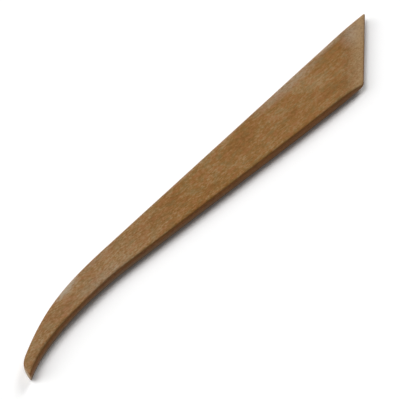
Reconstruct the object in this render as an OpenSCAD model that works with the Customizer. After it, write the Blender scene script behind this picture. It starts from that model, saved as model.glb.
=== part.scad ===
// Wooden clay modelling tool, carved from one piece of hardwood board.
// A straight handle widens into a broad blade, whose faces thin down to a skew-cut edge.
// Its other end narrows into a hook with a blunt end, which keeps most of the board's thickness.
// X runs along the handle's axis towards the blade, Z is up, and the tool lies on its belly.

/* [Handle] */
// Length from the neck, where the hook begins, to the heel of the blade
handle_length = 124; // [80:0.5:160]
// Width across the neck
neck_width = 11.1; // [8:0.1:16]
// Thickness of the board that the tool is cut from
thickness = 6.3; // [4:0.1:9]

/* [Blade] */
// Width across the heel, where the cutting edge starts
blade_width = 22.8; // [17:0.1:32]
// Angle between the cutting edge and the handle's axis
skew_angle = 43.7; // [30:0.1:70]
// Distance from the cutting edge over which both faces thin down to it
blade_taper = 12; // [8:1:50]
// Thickness of the cutting edge
edge_thickness = 1.2; // [0.8:0.1:2.4]
// Radius of the heel's corner, seen from above
heel_radius = 3; // [0.4:0.1:4]
// Radius of the blade's point, seen from above
point_radius = 0.4; // [0.2:0.1:1]

/* [Hook] */
// Distance along the handle's axis from the neck to the hook's tip
hook_reach = 54.8; // [45:0.1:80]
// Distance from the handle's axis to the hook's tip
hook_drop = 14.9; // [10:0.1:24]
// Length over which the hook's inner edge eases out of the straight handle
inner_lead = 16; // [12:0.5:28]
// Length over which the inner edge eases into the tip
inner_close = 14.5; // [6:0.5:18]
// Angle to the handle's axis at which the inner edge meets the tip
inner_angle = 33.5; // [25:0.5:50]
// Length over which the outer edge eases out of the straight handle
outer_lead = 21.5; // [12:0.5:28]
// Length over which the outer edge eases into the shoulder, where it rounds over to the tip
outer_close = 16.5; // [8:0.5:18]
// Distance along the handle's axis from the tip to the shoulder
shoulder_reach = 7; // [5:0.1:12]
// Distance square to the axis from the tip to the shoulder
shoulder_rise = 9.4; // [7:0.1:11]
// Angle to the handle's axis of the outer edge at the shoulder
shoulder_angle = 27; // [15:1:35]
// Angle to the handle's axis of the hook's blunt end
end_angle = 89; // [70:1:95]
// Distance from the tip over which both faces thin down to it
hook_taper = 30; // [20:1:60]
// Thickness just behind the tip
tip_thickness = 6; // [2.4:0.1:6.2]
// Radius at the tip, seen from the side
tip_radius = 1.4; // [0.6:0.1:2.5]

/* [Finish] */
// How far the rounding of the sides reaches onto the faces
arris_width = 1.6; // [0.8:0.1:2.5]
// Squareness of the sides: 2 is half round, and a higher value has sharper arrises
squareness = 3.4; // [2:0.1:6]
// How far the carved faces would swell past the board, which leaves them flat along the handle
face_swell = 0.15; // [0.05:0.05:0.4]

/* [Hidden] */

// Stations along the hook, the handle and the rounded cutting edge
hook_steps = 34;
handle_steps = 22;
edge_steps = 6;
// The part of the outer edge's stations that lie between the neck and the shoulder
shoulder_share = 0.75;
// Points on a quarter of the section, and on the flat between two quarters
quarter_steps = 6;
face_steps = 4;
// The last station's angle round the nose of the cutting edge
nose_angle = 12;
// The most of a station's chord that one side's rounding may take
rounding_share = 0.4;

half_neck = neck_width / 2;
side_slope = (blade_width - neck_width) / 2 / handle_length;
side_angle = atan(side_slope);
hook_tip = [-hook_reach, -hook_drop];
shoulder = hook_tip + [shoulder_reach, shoulder_rise];
// Reach of the curve that rounds the shoulder over to the tip, from either end of it
round_reach = norm(shoulder - hook_tip) / 2;

// The cutting edge runs from the heel, on the lower side, to the blade's point on the upper side.
heel = [handle_length, -blade_width / 2];
point_x = (handle_length * tan(skew_angle) + half_neck + blade_width / 2)
    / (tan(skew_angle) - side_slope);
blade_point = [point_x, half_neck + side_slope * point_x];
edge_along = towards(skew_angle);
edge_inward = towards(skew_angle + 90);
heel_corner = 180 - skew_angle - side_angle;
point_corner = skew_angle - side_angle;

// Depth of the strip behind the cutting edge that holds both corners and the rounded nose
edge_strip = max(
    heel_radius * (1 + cos(heel_corner)),
    point_radius * (1 + cos(point_corner)),
    edge_thickness / 2
);

function mix(a, b, k) = a + (b - a) * k;

function bezier(p, t) =
    p[0] * pow(1 - t, 3)
    + p[1] * 3 * pow(1 - t, 2) * t
    + p[2] * 3 * (1 - t) * t * t
    + p[3] * pow(t, 3);

function towards(angle) = [cos(angle), sin(angle)];

// The hook's inner edge, from the neck at t = 0 to the tip at t = 1
function inner_edge(t) = bezier([
    [0, -half_neck],
    [0, -half_neck] - inner_lead * towards(-side_angle),
    hook_tip + inner_close * towards(inner_angle),
    hook_tip
], t);

// Its outer edge, which sweeps down to the shoulder and then rounds over to the tip
function outer_edge(t) = t < shoulder_share
    ? bezier([
        [0, half_neck],
        [0, half_neck] - outer_lead * towards(side_angle),
        shoulder + outer_close * towards(shoulder_angle),
        shoulder
    ], t / shoulder_share)
    : bezier([
        shoulder,
        shoulder - round_reach * towards(shoulder_angle),
        hook_tip + round_reach * towards(end_angle),
        hook_tip
    ], (t - shoulder_share) / (1 - shoulder_share));

// How far a rounded corner holds back the end of a chord that lies at a depth behind the edge
function corner_inset(depth, radius, corner) =
    depth < radius * (1 + cos(corner))
        ? radius / tan(corner / 2) - sqrt(radius * radius - pow(radius - depth, 2))
        : depth / tan(corner);

// The chord across the blade at a depth behind the cutting edge, upper end first
function edge_chord(depth) = [
    blade_point + edge_inward * depth - edge_along * corner_inset(depth, point_radius, point_corner),
    heel + edge_inward * depth + edge_along * corner_inset(depth, heel_radius, heel_corner)
];

// Chords across the plan from the hook's tip to the cutting edge, each with its upper end first.
// They are square to the handle at the neck, and turn with the skew of the edge towards the blade.
hook_chords = [
    for (i = [2 : hook_steps])
        let (t = 1 - pow(i / hook_steps, 1.6))
        [outer_edge(t), inner_edge(t)]
];
neck_chord = [[0, half_neck], [0, -half_neck]];
blade_chord = edge_chord(edge_strip);
handle_chords = [
    for (i = [1 : handle_steps])
        let (k = 1 - pow(1 - i / handle_steps, 1.8))
        mix(neck_chord, blade_chord, k)
];
edge_chords = [
    for (i = [1 : edge_steps])
        let (a = mix(90, nose_angle, i / edge_steps))
        edge_chord(edge_strip * (1 - cos(a)))
];
chords = concat(hook_chords, handle_chords, edge_chords);

// Rises from 0 to 1 over a run, and arrives level
function eased(distance, run) = 1 - pow(1 - min(distance / run, 1), 2);

// Full thickness of one end: it thins over a run to what the end keeps, and closes in a round nose.
function end_thickness(distance, run, kept, nose) =
    mix(kept, thickness, eased(distance, run)) * sqrt(eased(distance, nose));

function half_thickness(p) = min(
    end_thickness((p - heel) * edge_inward, blade_taper, edge_thickness, edge_thickness / 2),
    end_thickness(norm(p - hook_tip), hook_taper, tip_thickness, tip_radius)
) / 2;

// A quarter of the section as a superellipse: [share of the rounding's width, share of the height]
quarter = [
    for (i = [0 : quarter_steps])
        let (a = 90 * i / quarter_steps)
        [1 - pow(cos(a), 2 / squareness), pow(sin(a), 2 / squareness)]
];

// The upper half of a section over a chord of some length: [distance from its upper end, share of the height]
function upper_half(length, rounding) = concat(
    [for (q = quarter) [rounding * q.x, q.y]],
    [for (i = [1 : face_steps - 1]) [mix(rounding, length - rounding, i / face_steps), 1]],
    [for (i = [quarter_steps : -1 : 0]) [length - rounding * quarter[i].x, quarter[i].y]]
);

function section(chord) =
    let (
        run = chord[1] - chord[0],
        length = norm(run),
        skewed_width = arris_width * length / max(abs(run.y), length * sin(skew_angle)),
        rounding = min(skewed_width, length * rounding_share),
        top = upper_half(length, rounding),
        loop = concat(top, [for (i = [len(top) - 2 : -1 : 1]) [top[i].x, -top[i].y]])
    )
    [
        for (q = loop)
            let (
                p = chord[0] + run * q.x / length,
                swell = 1 + 2 * face_swell / thickness * (1 - pow(1 - 2 * q.x / length, 2))
            )
            [p.x, p.y, q.y * half_thickness(p) * swell]
    ];

// Corner points of a list of plan points: [lowest, highest]
function extent(points) = [
    [min([for (p = points) p.x]), min([for (p = points) p.y])],
    [max([for (p = points) p.x]), max([for (p = points) p.y])]
];

plan = extent(concat([hook_tip], [for (c = chords) each c]));
centre = (plan[0] + plan[1]) / 2;
loop_count = 2 * (2 * quarter_steps + face_steps);

// The carved form, lofted through every section, with its middle plane at z = 0
module carved_form() {
    points = concat([[hook_tip.x, hook_tip.y, 0]], [for (c = chords) each section(c)]);
    last = 1 + (len(chords) - 1) * loop_count;
    tip_faces = [for (j = [0 : loop_count - 1]) [0, 1 + j, 1 + (j + 1) % loop_count]];
    side_faces = [
        for (i = [0 : len(chords) - 2], j = [0 : loop_count - 1])
            let (
                a = 1 + i * loop_count + j,
                b = 1 + i * loop_count + (j + 1) % loop_count,
                c = b + loop_count,
                d = a + loop_count
            )
            each [[a, d, c], [a, c, b]]
    ];
    nose_face = [[for (j = [0 : loop_count - 1]) last + loop_count - 1 - j]];
    polyhedron(points, concat(tip_faces, side_faces, nose_face));
}

// The board, whose two faces stay on the tool as its flats
module board() {
    margin = 5;
    size = plan[1] - plan[0] + [2 * margin, 2 * margin];
    translate([centre.x, centre.y, 0])
        cube([size.x, size.y, thickness], center = true);
}

module modelling_tool() {
    color([0.55, 0.42, 0.27])
        translate([-centre.x, -centre.y, thickness / 2])
            intersection() {
                carved_form();
                board();
            }
}

modelling_tool();
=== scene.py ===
"""Wooden clay modelling tool: an oiled beech blade and hook, on a white studio sweep."""
import math

import bpy
import numpy as np
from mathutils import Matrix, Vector, noise


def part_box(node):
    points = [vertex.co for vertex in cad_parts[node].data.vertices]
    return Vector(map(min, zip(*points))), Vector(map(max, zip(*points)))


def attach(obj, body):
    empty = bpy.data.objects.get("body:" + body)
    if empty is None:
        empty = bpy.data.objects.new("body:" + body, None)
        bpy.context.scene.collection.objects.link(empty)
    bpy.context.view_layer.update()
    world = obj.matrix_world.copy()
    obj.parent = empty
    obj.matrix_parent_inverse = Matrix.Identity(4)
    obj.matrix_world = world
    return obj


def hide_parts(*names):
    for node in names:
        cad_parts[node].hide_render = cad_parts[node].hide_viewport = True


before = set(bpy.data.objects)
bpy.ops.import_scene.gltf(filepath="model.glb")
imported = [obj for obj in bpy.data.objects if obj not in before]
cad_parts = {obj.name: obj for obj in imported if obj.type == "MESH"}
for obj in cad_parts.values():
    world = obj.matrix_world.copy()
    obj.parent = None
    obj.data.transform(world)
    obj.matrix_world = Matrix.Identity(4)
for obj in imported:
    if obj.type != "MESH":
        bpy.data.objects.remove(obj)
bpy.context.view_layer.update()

TOOL_NODE = "modelling_tool"
TOOL_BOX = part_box(TOOL_NODE)
MM = 0.001

bl_info = {
    "name": "Wooden Modelling Tool",
    "version": (1, 0, 0),
    "blender": (4, 5, 0),
    "location": "View3D > Sidebar > Craft",
    "description": "Builds a hooked wooden clay modelling tool with a skew-cut blade, and a studio for it",
    "category": "Add Mesh",
}


def linear_colour(hex_code):
    """Linear RGB of an sRGB hex colour."""
    channels = [int(hex_code[i:i + 2], 16) / 255 for i in (0, 2, 4)]
    return tuple(c / 12.92 if c <= 0.04045 else ((c + 0.055) / 1.055) ** 2.4 for c in channels)


def length(name, description, millimetres):
    return bpy.props.FloatProperty(
        name=name, description=description, default=millimetres * MM, precision=5, unit="LENGTH",
    )


def angle(name, description, degrees):
    return bpy.props.FloatProperty(
        name=name, description=description, default=math.radians(degrees), subtype="ANGLE",
    )


def factor(name, description, share):
    return bpy.props.FloatProperty(
        name=name, description=description, default=share, min=0, max=1, subtype="FACTOR",
    )


def colour(name, description, hex_code):
    return bpy.props.FloatVectorProperty(
        name=name, description=description, default=linear_colour(hex_code), size=3, min=0, max=1,
        subtype="COLOR",
    )


class ToolSizes(bpy.types.PropertyGroup):
    """Sizes of the carved tool"""

    handle_length: length("Handle length", "From the neck, where the hook begins, to the blade's heel", 124)
    neck_width: length("Neck width", "Width across the neck", 11.1)
    thickness: length("Thickness", "Thickness of the board", (TOOL_BOX[1].z - TOOL_BOX[0].z) / MM)
    blade_width: length("Blade width", "Width across the heel", 22.8)
    skew_angle: angle("Skew angle", "Between the cutting edge and the handle's axis", 43.7)
    blade_taper: length("Blade taper", "Distance from the cutting edge over which the faces thin down", 12)
    edge_thickness: length("Edge thickness", "Thickness of the cutting edge", 1.2)
    heel_radius: length("Heel radius", "Radius of the heel's corner, from above", 3)
    point_radius: length("Point radius", "Radius of the blade's point, from above", 0.4)
    hook_reach: length("Hook reach", "Along the axis from the neck to the hook's tip", 54.8)
    hook_drop: length("Hook drop", "From the handle's axis to the hook's tip", 14.9)
    inner_lead: length("Inner lead", "How far the inner edge takes to leave the straight handle", 16)
    inner_close: length("Inner close", "How far the inner edge takes to settle into the tip", 14.5)
    inner_angle: angle("Inner angle", "At which the inner edge meets the tip", 33.5)
    outer_lead: length("Outer lead", "How far the outer edge takes to leave the straight handle", 21.5)
    outer_close: length("Outer close", "How far the outer edge takes to settle into the shoulder", 16.5)
    shoulder_reach: length("Shoulder reach", "Along the axis from the tip to the shoulder", 7)
    shoulder_rise: length("Shoulder rise", "Square to the axis from the tip to the shoulder", 9.4)
    shoulder_angle: angle("Shoulder angle", "Of the outer edge at the shoulder", 27)
    end_angle: angle("End angle", "Of the hook's blunt end to the axis", 89)
    hook_taper: length("Hook taper", "Distance from the tip over which the faces thin down", 30)
    tip_thickness: length("Tip thickness", "Thickness just behind the tip", 6)
    tip_radius: length("Tip radius", "Radius at the tip, from the side", 1.4)
    arris_width: length("Arris width", "How far the rounding of the sides reaches onto the faces", 1.6)
    squareness: bpy.props.FloatProperty(
        name="Squareness", description="Of the sides: 2 is half round, and more is sharper",
        default=3.4, min=2, max=6,
    )
    face_swell: length("Face swell", "How far the carved faces would swell past the board", 0.15)
    hook_flare: length("Hook flare", "How far the hook's inner side leans out towards the belly", 0.4)
    flare_run: length("Flare run", "Distance over which that lean grows from the neck", 15)
    bulge: length("Bulge", "How far the lower crest stands out where the hook bends", 0.55)
    bulge_place: length("Bulge place", "From the neck to the middle of that bulge", 20)
    bulge_reach: length("Bulge reach", "Half the bulge's length along the handle", 11)
    heel_wear: length("Heel wear", "How far the lower crest is worn back at the heel", 0.8)
    wear_run: length("Wear run", "Length before the heel over which that wear grows", 49)
    sanding_depth: length("Sanding depth", "How deep the scraped and sanded hollows go", 0.05)
    sanding_span: length("Sanding span", "Width of one such hollow", 9)


class WoodFinish(bpy.types.PropertyGroup):
    """Colours and polish of the oiled beech"""

    heart: colour("Heart", "The wood where it took most oil", "764E1F")
    ground: colour("Ground", "The wood's usual tone", "886030")
    pale: colour("Pale", "The wood where it took least oil", "9A7C56")
    rosy: colour("Rosy", "One tint of steamed beech", "906038")
    olive: colour("Olive", "The other tint of steamed beech", "7B643C")
    # Silver is partly dry grain and partly a painted sheen and highlight on the upper edges.
    silver_and_sheen: colour("Silver", "Dry grain that the oil has left", "A3917B")
    # Edge is a painted sheen on the bevel behind the cutting edge.
    edge: colour("Edge", "Dry wood behind the cutting edge, which clay scours most", "AC8C64")
    # Bare is worn wood and a painted highlight on the hook's end.
    bare_and_highlit: colour("Bare", "Bare wood at the hook's worn end", "BBA98E")
    side: colour("Side", "The sides, where the oil soaked into cut grain", "86521F")
    # Dust is a painted reflection of the white floor on the sides' lower half.
    floor_reflection: colour("Dust", "Dry clay that has greyed the lower half of the sides", "886E55")
    arris: colour("Arris", "The burnished line along the arrises", "6E4A20")
    roughness: factor("Roughness", "Of the rubbed oil finish", 0.5)


class StageSettings(bpy.types.PropertyGroup):
    """Floor, camera and lamps"""

    azimuth: angle("Azimuth", "Camera's turn round the tool; at 0 it looks along Y", -43.5)
    elevation: angle("Elevation", "Camera's height over the floor", 62)
    distance: length("Distance", "From the camera to the tool", 850)
    focal_length: bpy.props.FloatProperty(
        name="Focal length", description="Of the lens, in millimetres on a 36 mm sensor",
        default=197.7, min=20, unit="CAMERA",
    )
    floor_colour: colour("Floor", "The sweep that the tool lies on", "FFFFFF")


# The camera looks at this point of the floor, in millimetres, and the tool is centred as in the photograph.
AIM = (-3.73, -1.19)
# Width of the camera's sensor, in millimetres
SENSOR_WIDTH = 36
# The sweep is overexposed: seen directly it is this many times brighter than a matt white.
OVEREXPOSURE = 1.05
# Bounce of the sweep onto the tool, as a grey
BOUNCE = 0.6
# Even light from all round, as a share of the full light on the floor
AMBIENT = 0.13
# Soft boxes: azimuth and elevation, counted as the camera's are, and width, all in degrees, and then the
# share of the light on the floor
SOFT_BOXES = {
    "overhead_soft_box": (214, 68, 30, 0.42),
    "left_soft_box": (235, 31, 44, 0.24),
    "right_soft_box": (109, 37, 26, 0.21),
}

# Places that are partly worn, where hands and clay have rubbed the oil away, and partly a painted sheen and
# highlight where the upper edges catch the light, seen from above: centre in millimetres, turn in degrees,
# half the length and width in millimetres, and how silvery it has become. They are the hook's back, the
# neck's two edges, the handle's upper edge, two places on the blade's upper edge, and the blade's point.
RUBBED_AND_SHEEN_PATCHES = (
    ((-68.5, 3.6), 9, (9, 2.3), 1.35),
    ((-52, 5.6), 4, (20, 3.0), 0.4),
    ((-54, -3.5), -3, (22, 5.5), 0.5),
    ((20, 9.9), 3, (85, 1.6), 0.45),
    ((55, 10.5), 3, (24, 4.0), 0.7),
    ((79, 12.2), 3, (16, 2.4), 0.7),
    ((93, 9.0), 3, (11, 7.0), 0.8),
)
# A patch goes through the whole tool: a height of 1 m, in millimetres, leaves Z out of account.
PATCH_HEIGHT = 1000
# The hook end is handled most: where along X its grey begins and is full, in millimetres, and how silvery
# it becomes
HANDLED_END = ((-10, -50), 0.17)
# The hook's worn end, bare wood with a highlight painted where the light strikes it: middle and radius in
# millimetres
END_WEAR_AND_HIGHLIGHT = ((-103.7, -10.6, 3.2), 4.3)
# A sheen painted on the strip behind the cutting edge, whose bevel catches the light: where it begins and
# is full, in millimetres from the edge, and its share of the painted sheen's colour
EDGE_SHEEN_STRIP = ((7, 2), 0.95)
# Between these places along X, in millimetres, the handle's fine figure gives way to the blade's broad one.
FIGURE_SHIFT = (-20, 70)
# A grey reflection of the white floor, painted on the sides' lower half: the heights at which it begins and
# is full, the places along X at which it is faintest and full, all in millimetres, and its share where it
# is faintest
REFLECTION_HEIGHTS = (4.4, 2.4)
REFLECTION_RUN = (30, -40)
REFLECTION_FAINTEST = 0.45

# Stations along the hook, the handle and the rounded cutting edge
HOOK_STEPS = 150
HANDLE_STEPS = 200
EDGE_STEPS = 14
# How closely the stations crowd towards the hook's tip and towards the blade, as powers: 1 is evenly spaced
TIP_CROWDING = 1.6
BLADE_CROWDING = 1.3
# Points on a quarter of the section, and on the flat between two quarters
QUARTER_STEPS = 12
FACE_STEPS = 24
# The outer edge's stations that lie between the neck and the shoulder, as a share of the hook's
SHOULDER_SHARE = 0.75
# The last station's angle round the nose of the cutting edge
NOSE_ANGLE = math.radians(4)
# The most of a station's chord that one side's rounding may take
ROUNDING_SHARE = 0.4
# The belly's wear at the heel, as a share of the crest's
BELLY_WEAR = 0.5
# The scraper's broad hollows and the sandpaper's ripples: how many lie in a sanding span along X and across
# it, a height that sets the two patterns apart, and their share of the depth, round a half
HOLLOWS = ((0.6, 1.4), 3.7, 0.4)
RIPPLES = ((2.1, 4.0), 9.1, 0.1)


def mix(a, b, k):
    return a + (b - a) * k


def towards(turn):
    return np.array((math.cos(turn), math.sin(turn)))


def bezier(points, t):
    a, b, c, d = (np.array(p) for p in points)
    return a * (1 - t) ** 3 + b * 3 * (1 - t) ** 2 * t + c * 3 * (1 - t) * t * t + d * t ** 3


def eased(distance, run):
    """Rises from 0 to 1 over a run, and arrives level."""
    return 1 - (1 - min(distance / run, 1)) ** 2


class ToolForm:
    """The tool's plan and sections, in metres: the neck is at the origin, the middle plane at z = 0."""

    def __init__(self, sizes):
        self.s = sizes
        self.half_neck = sizes.neck_width / 2
        self.slope = (sizes.blade_width - sizes.neck_width) / 2 / sizes.handle_length
        self.side_angle = math.atan(self.slope)
        self.tip = np.array((-sizes.hook_reach, -sizes.hook_drop))
        self.shoulder = self.tip + (sizes.shoulder_reach, sizes.shoulder_rise)
        self.heel = np.array((sizes.handle_length, -sizes.blade_width / 2))
        rise = math.tan(sizes.skew_angle)
        point_x = (
            sizes.handle_length * rise + self.half_neck + sizes.blade_width / 2
        ) / (rise - self.slope)
        self.point = np.array((point_x, self.half_neck + self.slope * point_x))
        self.edge_along = towards(sizes.skew_angle)
        self.edge_inward = towards(sizes.skew_angle + math.pi / 2)
        self.heel_corner = math.pi - sizes.skew_angle - self.side_angle
        self.point_corner = sizes.skew_angle - self.side_angle
        self.edge_strip = max(
            sizes.heel_radius * (1 + math.cos(self.heel_corner)),
            sizes.point_radius * (1 + math.cos(self.point_corner)),
            sizes.edge_thickness / 2,
        )

    def inner_edge(self, t):
        """The hook's inner edge, from the neck at t = 0 to the tip at t = 1."""
        neck = np.array((0, -self.half_neck))
        return bezier((
            neck,
            neck - self.s.inner_lead * towards(-self.side_angle),
            self.tip + self.s.inner_close * towards(self.s.inner_angle),
            self.tip,
        ), t)

    def outer_edge(self, t):
        """Its outer edge, which sweeps down to the shoulder and then rounds over to the tip."""
        neck = np.array((0, self.half_neck))
        reach = np.linalg.norm(self.shoulder - self.tip) / 2
        if t < SHOULDER_SHARE:
            return bezier((
                neck,
                neck - self.s.outer_lead * towards(self.side_angle),
                self.shoulder + self.s.outer_close * towards(self.s.shoulder_angle),
                self.shoulder,
            ), t / SHOULDER_SHARE)
        return bezier((
            self.shoulder,
            self.shoulder - reach * towards(self.s.shoulder_angle),
            self.tip + reach * towards(self.s.end_angle),
            self.tip,
        ), (t - SHOULDER_SHARE) / (1 - SHOULDER_SHARE))

    def corner_inset(self, depth, radius, corner):
        """How far a rounded corner holds back a chord that lies at a depth behind the edge."""
        if depth < radius * (1 + math.cos(corner)):
            return radius / math.tan(corner / 2) - math.sqrt(radius ** 2 - (radius - depth) ** 2)
        return depth / math.tan(corner)

    def edge_chord(self, depth):
        """The chord across the blade at a depth behind the cutting edge, upper end first."""
        inward = self.edge_inward * depth
        point_inset = self.corner_inset(depth, self.s.point_radius, self.point_corner)
        heel_inset = self.corner_inset(depth, self.s.heel_radius, self.heel_corner)
        return (
            self.point + inward - self.edge_along * point_inset,
            self.heel + inward + self.edge_along * heel_inset,
        )

    def chords(self):
        """Chords from the hook's tip to the cutting edge, each with its upper end first."""
        found = []
        for i in range(1, HOOK_STEPS + 1):
            t = 1 - (i / HOOK_STEPS) ** TIP_CROWDING
            found.append((self.outer_edge(t), self.inner_edge(t)))
        neck, blade = found[-1], self.edge_chord(self.edge_strip)
        for i in range(1, HANDLE_STEPS + 1):
            k = 1 - (1 - i / HANDLE_STEPS) ** BLADE_CROWDING
            found.append((mix(neck[0], blade[0], k), mix(neck[1], blade[1], k)))
        for i in range(1, EDGE_STEPS + 1):
            turn = mix(math.pi / 2, NOSE_ANGLE, i / EDGE_STEPS)
            found.append(self.edge_chord(self.edge_strip * (1 - math.cos(turn))))
        return found

    def half_thickness(self, p):
        """Half the thickness at a place in plan. It thins down to the cutting edge and towards the tip."""
        s = self.s
        from_edge = (p - self.heel) @ self.edge_inward
        from_tip = np.linalg.norm(p - self.tip)
        blade = mix(s.edge_thickness, s.thickness, eased(from_edge, s.blade_taper))
        blade *= math.sqrt(max(eased(from_edge, s.edge_thickness / 2), 0))
        hook = mix(s.tip_thickness, s.thickness, eased(from_tip, s.hook_taper))
        hook *= math.sqrt(eased(from_tip, s.tip_radius))
        return min(blade, hook) / 2

    def upper_half(self, chord_length, rounding):
        """Upper half of a section over a chord, as (distance from its upper end, share of the height)."""
        power = 2 / self.s.squareness
        quarter = []
        for i in range(QUARTER_STEPS + 1):
            turn = math.pi / 2 * i / QUARTER_STEPS
            quarter.append((1 - math.cos(turn) ** power, math.sin(turn) ** power))
        half = [(rounding * x, y) for x, y in quarter]
        for i in range(1, FACE_STEPS):
            half.append((mix(rounding, chord_length - rounding, i / FACE_STEPS), 1.0))
        return half + [(chord_length - rounding * x, y) for x, y in reversed(quarter)]

    def section(self, chord):
        """The ring of points round the tool over one chord, cut to the board's two faces."""
        s = self.s
        run = chord[1] - chord[0]
        span = np.linalg.norm(run)
        reach = s.arris_width * span / max(abs(run[1]), span * math.sin(s.skew_angle))
        top = self.upper_half(span, min(reach, span * ROUNDING_SHARE))
        loop = top + [(x, -y) for x, y in top[-2:0:-1]]
        crest, belly = self.lower_side(chord[1])
        points = []
        for x, share in loop:
            p = chord[0] + run * x / span
            swell = 1 + 2 * s.face_swell / s.thickness * (1 - (1 - 2 * x / span) ** 2)
            z = share * self.half_thickness(p) * swell
            # The lower side's departure from the plan fades out at the middle of the chord.
            shift = mix(belly, crest, (1 + share) / 2)
            p = p + run / span * shift * max(2 * x / span - 1, 0)
            points.append((p[0], p[1], max(-s.thickness / 2, min(z, s.thickness / 2))))
        return points

    def lower_side(self, p):
        """How far outside the plan the hand that shaped the lower side left its crest, and its belly."""
        s = self.s
        bulge = math.exp(-((p[0] + s.bulge_place) / s.bulge_reach) ** 2)
        worn = s.heel_wear * min(max((p[0] - s.handle_length) / s.wear_run + 1, 0), 1) ** 2
        flare = s.hook_flare * min(max(-p[0] / s.flare_run, 0), 1)
        # The lean fades out again over half its run at the tip, and where the bulge stands.
        flare *= eased(np.linalg.norm(p - self.tip), s.flare_run / 2) * (1 - bulge)
        return s.bulge * bulge - worn, flare - worn * BELLY_WEAR


def lofted_mesh(name, sections, tip):
    """A closed mesh through rings of equal count, from a point at the tip to a cap at the last ring."""
    points = [tip] + [p for ring in sections for p in ring]
    count = len(sections[0])
    faces = [(0, 1 + (j + 1) % count, 1 + j) for j in range(count)]
    for i in range(len(sections) - 1):
        for j in range(count):
            a, b = 1 + i * count + j, 1 + i * count + (j + 1) % count
            faces.append((a, b, b + count, a + count))
    last = 1 + (len(sections) - 1) * count
    faces.append(tuple(range(last, last + count)))
    mesh = bpy.data.meshes.new(name)
    mesh.from_pydata(points, [], faces)
    mesh.validate()
    mesh.shade_smooth()
    return mesh


def wear(mesh, sizes):
    """Sinks the surface unevenly, as a scraper and sandpaper leave it. Nothing grows past the form."""
    normals = [v.normal.copy() for v in mesh.vertices]
    for vertex, normal in zip(mesh.vertices, normals):
        p = vertex.co / sizes.sanding_span
        depth = 0.5
        for (along, across), height, share in (HOLLOWS, RIPPLES):
            depth += share * noise.noise(Vector((p.x * along, p.y * across, p.z + height)))
        vertex.co -= normal * sizes.sanding_depth * max(0, min(depth, 1))


def add_node(tree, kind, inputs=None, stops=None, **settings):
    """Adds a node with its settings. Inputs are values or sockets, and stops a ramp's (place, colour)."""
    node = tree.nodes.new(kind)
    for name, value in settings.items():
        setattr(node, name, value)
    for index, (place, tint) in enumerate(stops or ()):
        elements = node.color_ramp.elements
        element = elements[index] if index < len(elements) else elements.new(place)
        element.position = place
        element.color = (*tint, 1)
    for key, value in (inputs or {}).items():
        if isinstance(value, bpy.types.NodeSocket):
            tree.links.new(value, node.inputs[key])
        else:
            node.inputs[key].default_value = value
    return node


def new_material(name):
    material = bpy.data.materials.new(name)
    material.use_nodes = True
    material.node_tree.nodes.clear()
    return material, material.node_tree


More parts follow.
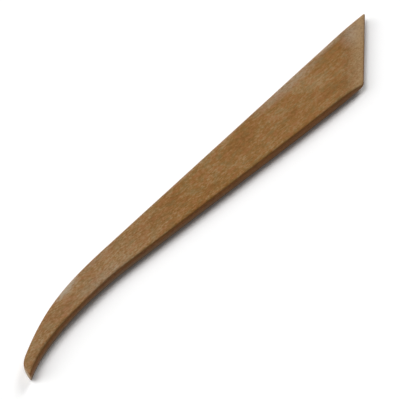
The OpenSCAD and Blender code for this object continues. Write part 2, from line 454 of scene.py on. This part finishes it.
def oiled_beech(finish, form, centre):
    """Steamed beech, scraped, sanded and oiled: golden brown and finely flecked, with a soft sheen."""
    material, tree = new_material("Steamed Beech, Sanded And Oiled")
    coordinates = add_node(tree, "ShaderNodeTexCoord").outputs
    place = coordinates["Object"]

    def calculate(operation, *values):
        return add_node(tree, "ShaderNodeMath", dict(enumerate(values)), operation=operation).outputs[0]

    def total(*values):
        added = values[0]
        for value in values[1:]:
            added = calculate("ADD", added, value)
        return added

    def spread(value, low, high, to_low=0.0, to_high=1.0):
        """The value taken from one range onto another, and held at its ends."""
        return add_node(tree, "ShaderNodeMapRange", {
            "Value": value, "From Min": low, "From Max": high, "To Min": to_low, "To Max": to_high,
        }).outputs[0]

    def swing(pattern, strength):
        """A pattern of 0 to 1 as a swing of so much to either side of 0."""
        return spread(pattern, 0.0, 1.0, -strength, strength)

    def blend(share, under, over):
        return add_node(
            tree, "ShaderNodeMix", {0: share, 6: under, 7: over}, data_type="RGBA",
        ).outputs[2]

    def grain(along, across, detail, seed=0.0):
        """Noise whose features are so many millimetres long and wide, with the grain along X."""
        scale = (1 / (along * MM), 1 / (across * MM), 1 / (across * MM))
        stretched = add_node(tree, "ShaderNodeMapping", {
            "Vector": place, "Scale": scale, "Location": (seed, seed, 0),
        }).outputs[0]
        return add_node(tree, "ShaderNodeTexNoise", {
            "Vector": stretched, "Scale": 1.0, "Detail": detail, "Roughness": 0.55,
        }).outputs["Fac"]

    def from_middle(middle, half_sizes, turn=0):
        """How far a place is from the middle of an oval, which is sized in millimetres: 1 is its rim."""
        local = add_node(tree, "ShaderNodeMapping", {
            "Vector": place,
            "Location": tuple(m * MM for m in middle),
            "Rotation": (0, 0, math.radians(turn)),
            "Scale": tuple(h * MM for h in half_sizes),
        }, vector_type="TEXTURE").outputs[0]
        return add_node(tree, "ShaderNodeVectorMath", {0: local}, operation="LENGTH").outputs["Value"]

    axes = add_node(tree, "ShaderNodeSeparateXYZ", {0: place}).outputs
    along, height = axes["X"], axes["Z"]

    def towards_blade(at_handle, at_blade):
        """A strength that changes where the handle's figure gives way to the blade's."""
        return spread(along, FIGURE_SHIFT[0] * MM, FIGURE_SHIFT[1] * MM, at_handle, at_blade)

    # Rays and pores of beech: specks 1.2 mm long, drawn 0.5 mm wide, which is coarser than life, to show
    specks = grain(1.2, 0.5, 1, seed=11.0)
    # Fibres that the scraper raised: lines 7 mm long, drawn 0.6 mm wide for the same reason
    fibres = grain(7.0, 0.6, 1, seed=7.0)
    # Where the wood drank more or less oil: patches 18 mm long, and clouds of 4 mm
    patches = grain(18, 7, 2)
    clouds = grain(4.0, 2.4, 1, seed=5.0)
    # Growth rings cut lengthwise: streaks 26 mm long and 1 mm wide
    rings = grain(26, 1.0, 2, seed=4.0)
    # How dry the oil left the wood: 0.5 is usual. The fine figure is stronger in the hook and the handle,
    # and the broad one in the blade.
    fine = total(swing(specks, 1.05), swing(fibres, 0.4))
    broad = total(swing(clouds, 0.3), swing(rings, 0.45))
    dryness = total(
        0.5,
        swing(patches, 0.7),
        calculate("MULTIPLY", fine, towards_blade(1.0, 0.62)),
        calculate("MULTIPLY", broad, towards_blade(0.25, 1.0)),
    )
    tone = add_node(tree, "ShaderNodeValToRGB", {0: dryness}, stops=[
        (0.0, tuple(finish.heart)), (0.5, tuple(finish.ground)), (1.0, tuple(finish.pale)),
    ]).outputs[0]
    # Rosy and olive tints, which steamed beech has side by side in clouds of 3 mm
    tint = grain(3.0, 1.4, 2, seed=17.0)
    for fullest, hue in ((0.75, finish.rosy), (0.25, finish.olive)):
        tone = blend(spread(tint, 0.5, fullest, 0.0, 0.8), tone, (*hue, 1))

    # Dry silvery grain shows where hands and clay have rubbed the oil away, and the same colour paints a
    # sheen and highlight where the upper edges catch the light, in streaks 4 mm long, which the specks
    # dapple. A patch is full in its inner quarter and fades out to its rim.
    streaks = spread(grain(4.0, 0.7, 2, seed=23.0), 0.3, 0.7, 0.5, 1.0)
    dappled = calculate("MULTIPLY", streaks, spread(specks, 0.3, 0.7, 0.6, 1.4))
    (handled_from, handled_to), handled_share = HANDLED_END
    # Rubbed holds the handled end's grey and the patches of wear and of painted sheen and highlight.
    rubbed = spread(along, handled_from * MM, handled_to * MM, 0.0, handled_share)
    for middle, turn, half_sizes, share in RUBBED_AND_SHEEN_PATCHES:
        patch = from_middle((*middle, 0), (*half_sizes, PATCH_HEIGHT), turn)
        rubbed = calculate("MAXIMUM", rubbed, spread(patch, 1.0, 0.25, 0.0, share))
    sheened_and_silvered = blend(calculate("MULTIPLY", rubbed, dappled), tone, (*finish.silver_and_sheen, 1))
    # A sheen is painted on the bevel behind the cutting edge, where it catches the light.
    into_blade = add_node(tree, "ShaderNodeVectorMath", {
        0: place, 1: (*form.edge_inward, 0),
    }, operation="DOT_PRODUCT").outputs["Value"]
    edge_level = float((form.heel - centre) @ form.edge_inward)
    (sheen_from, sheen_to), sheen_share = EDGE_SHEEN_STRIP
    edge_sheen = spread(
        into_blade, edge_level + sheen_from * MM, edge_level + sheen_to * MM, 0.0, sheen_share,
    )
    sheened_and_silvered = blend(calculate("MULTIPLY", edge_sheen, dappled), sheened_and_silvered, (*finish.edge, 1))

    # The sides were sawn and less finely sanded, so they soaked up more oil. The figure shows through it.
    # A grey reflection of the white floor is painted on their lower half, mostly towards the hook.
    sawn = add_node(tree, "ShaderNodeVectorMath", {
        0: tuple(finish.side), "Scale": spread(dryness, 0.0, 1.0, 0.7, 1.35),
    }, operation="SCALE").outputs["Vector"]
    floor_reflected = calculate(
        "MULTIPLY",
        spread(height, REFLECTION_HEIGHTS[0] * MM, REFLECTION_HEIGHTS[1] * MM),
        spread(along, REFLECTION_RUN[0] * MM, REFLECTION_RUN[1] * MM, REFLECTION_FAINTEST, 1.0),
    )
    side = blend(floor_reflected, sawn, (*finish.floor_reflection, 1))
    # Flatness is 1 on the faces and 0 on the sides. The side's colour begins where the surface has turned
    # 46 degrees from the face, and is full at 73. The burnished line of an arris is full from 50 to 60
    # degrees, and has faded out at 32 and at 76.
    facing = add_node(tree, "ShaderNodeSeparateXYZ", {0: coordinates["Normal"]}).outputs["Z"]
    flatness = calculate("ABSOLUTE", facing)
    sided = blend(spread(flatness, 0.7, 0.3, 0.0, 0.9), sheened_and_silvered, side)
    arris = calculate("MULTIPLY", spread(flatness, 0.85, 0.65), spread(flatness, 0.25, 0.5))
    burnished = blend(calculate("MULTIPLY", arris, 0.65), sided, (*finish.arris, 1))
    # The hook's end is worn down to bare wood, and a highlight is painted on it too.
    end_middle, end_radius = END_WEAR_AND_HIGHLIGHT
    worn = spread(from_middle(end_middle, (end_radius,) * 3), 1.0, 0.5, 0.0, 1.2)
    colours = blend(calculate("MULTIPLY", worn, dappled), burnished, (*finish.bare_and_highlit, 1))

    # Open pores 1.6 mm long, drawn 0.35 mm wide so that they show, which lie 0.05 mm deep
    pores = grain(1.6, 0.35, 3, seed=31.0)
    bump = add_node(tree, "ShaderNodeBump", {"Height": pores, "Strength": 0.25, "Distance": 0.05 * MM})
    # Wood that drank more oil shines a little more, and so do the faces, which were sanded finest. Oil
    # leaves no film on the wood, so its gloss is far weaker than a varnish's.
    rough = total(
        spread(patches, 0.3, 0.7, finish.roughness - 0.05, finish.roughness + 0.05),
        spread(flatness, 0.9, 0.5, 0.0, 0.1),
    )
    surface = add_node(tree, "ShaderNodeBsdfPrincipled", {
        "Base Color": colours, "Roughness": rough, "IOR": 1.45, "Specular IOR Level": 0.15,
        "Normal": bump.outputs[0],
    })
    add_node(tree, "ShaderNodeOutputMaterial", {"Surface": surface.outputs[0]})
    return material


def background_rays(tree):
    """1 for what the camera sees, directly, in a gloss or through glass, and 0 for light on the tool."""
    path = add_node(tree, "ShaderNodeLightPath").outputs
    seen = add_node(tree, "ShaderNodeMath", {
        0: path["Is Camera Ray"], 1: path["Is Glossy Ray"],
    }, operation="ADD").outputs[0]
    return add_node(tree, "ShaderNodeMath", {
        0: seen, 1: path["Is Transmission Ray"],
    }, operation="ADD").outputs[0]


def studio_sweep(settings):
    """Matt white card, overexposed as in the photograph: pure white outside the tool's shadow."""
    material, tree = new_material("Matt White Card Sweep")
    white = tuple(c * OVEREXPOSURE for c in settings.floor_colour)
    tone = add_node(tree, "ShaderNodeMix", {
        0: background_rays(tree), 6: (BOUNCE, BOUNCE, BOUNCE, 1), 7: (*white, 1),
    }, data_type="RGBA")
    surface = add_node(tree, "ShaderNodeBsdfDiffuse", {"Color": tone.outputs[2]})
    add_node(tree, "ShaderNodeOutputMaterial", {"Surface": surface.outputs[0]})
    return material


def link(thing):
    bpy.context.scene.collection.objects.link(thing)
    return thing


class CRAFT_OT_carve_tool(bpy.types.Operator):
    """Carve the modelling tool from one piece of beech"""

    bl_idname = "craft.carve_tool"
    bl_label = "Carve Modelling Tool"

    def execute(self, context):
        sizes, finish = context.scene.tool_sizes, context.scene.wood_finish
        form = ToolForm(sizes)
        chords = form.chords()
        sections = [form.section(chord) for chord in chords]
        mesh = lofted_mesh("carved_tool", sections, (*form.tip, 0))
        wear(mesh, sizes)
        plan = np.array([form.tip] + [end for chord in chords for end in chord])
        centre = (plan.min(axis=0) + plan.max(axis=0)) / 2
        for vertex in mesh.vertices:
            vertex.co -= Vector((centre[0], centre[1], -sizes.thickness / 2))
            # The finer stations would take the hook's end some micrometres past the solid's.
            vertex.co.x = max(vertex.co.x, TOOL_BOX[0].x)
        mesh.materials.append(oiled_beech(finish, form, centre))
        tool = link(bpy.data.objects.new("carved_tool", mesh))
        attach(tool, "root")
        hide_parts(TOOL_NODE)
        return {"FINISHED"}


class CRAFT_OT_set_stage(bpy.types.Operator):
    """Lay the white sweep, and set the soft boxes and the camera"""

    bl_idname = "craft.set_stage"
    bl_label = "Set Stage"

    def execute(self, context):
        settings = context.scene.stage_settings
        self.lay_sweep(settings)
        self.light(context.scene)
        self.place_camera(context.scene, settings)
        return {"FINISHED"}

    def direction(self, azimuth, elevation):
        """From the tool to a camera or lamp. At azimuth 0 it stands on the -Y side."""
        return Vector((
            math.sin(azimuth) * math.cos(elevation),
            -math.cos(azimuth) * math.cos(elevation),
            math.sin(elevation),
        ))

    def lay_sweep(self, settings):
        # Half the sweep's width, in metres
        half = 3.0
        # Just under the tool, so that the two surfaces don't share a plane
        level = -0.02 * MM
        mesh = bpy.data.meshes.new("sweep")
        corners = [(-half, -half, level), (half, -half, level), (half, half, level), (-half, half, level)]
        mesh.from_pydata(corners, [], [(0, 1, 2, 3)])
        mesh.materials.append(studio_sweep(settings))
        link(bpy.data.objects.new("sweep", mesh))

    def light(self, scene):
        for name, (azimuth, elevation, width, share) in SOFT_BOXES.items():
            lamp = bpy.data.lights.new(name, "SUN")
            lamp.angle = math.radians(width)
            # A sun of strength pi makes a matt white that faces it render as 1.
            lamp.energy = math.pi * share / math.sin(math.radians(elevation))
            holder = link(bpy.data.objects.new(name, lamp))
            away = self.direction(math.radians(azimuth), math.radians(elevation))
            holder.rotation_euler = away.to_track_quat("Z", "Y").to_euler()
        world = bpy.data.worlds.new("studio")
        world.use_nodes = True
        tree = world.node_tree
        tree.nodes.clear()
        strength = add_node(tree, "ShaderNodeMix", {
            0: background_rays(tree), 2: AMBIENT, 3: 1.0,
        }, data_type="FLOAT").outputs[0]
        glow = add_node(tree, "ShaderNodeBackground", {"Color": (1, 1, 1, 1), "Strength": strength})
        add_node(tree, "ShaderNodeOutputWorld", {"Surface": glow.outputs[0]})
        scene.world = world

    def place_camera(self, scene, settings):
        lens = bpy.data.cameras.new("camera")
        lens.sensor_width = SENSOR_WIDTH
        lens.lens = settings.focal_length
        camera = link(bpy.data.objects.new("camera", lens))
        away = self.direction(settings.azimuth, settings.elevation)
        camera.location = Vector((AIM[0] * MM, AIM[1] * MM, 0)) + away * settings.distance
        camera.rotation_euler = away.to_track_quat("Z", "Y").to_euler()
        scene.camera = camera
        scene.view_settings.view_transform = "Standard"


class CRAFT_PT_tool_panel(bpy.types.Panel):
    """Builds the modelling tool and its stage"""

    bl_label = "Modelling Tool"
    bl_idname = "CRAFT_PT_tool_panel"
    bl_space_type = "VIEW_3D"
    bl_region_type = "UI"
    bl_category = "Craft"

    def draw(self, context):
        for operator in OPERATORS:
            self.layout.operator(operator.bl_idname)
        for name in SETTINGS:
            group = getattr(context.scene, name)
            box = self.layout.box()
            for key in group.__annotations__:
                box.prop(group, key)


SETTINGS = {"tool_sizes": ToolSizes, "wood_finish": WoodFinish, "stage_settings": StageSettings}
OPERATORS = (CRAFT_OT_set_stage, CRAFT_OT_carve_tool)
CLASSES = (*SETTINGS.values(), *OPERATORS, CRAFT_PT_tool_panel)


def register():
    for cls in CLASSES:
        bpy.utils.register_class(cls)
    for name, group in SETTINGS.items():
        setattr(bpy.types.Scene, name, bpy.props.PointerProperty(type=group))


def unregister():
    for name in SETTINGS:
        delattr(bpy.types.Scene, name)
    for cls in reversed(CLASSES):
        bpy.utils.unregister_class(cls)


def main():
    register()
    bpy.ops.craft.set_stage()
    bpy.ops.craft.carve_tool()


if __name__ == "__main__":
    main()
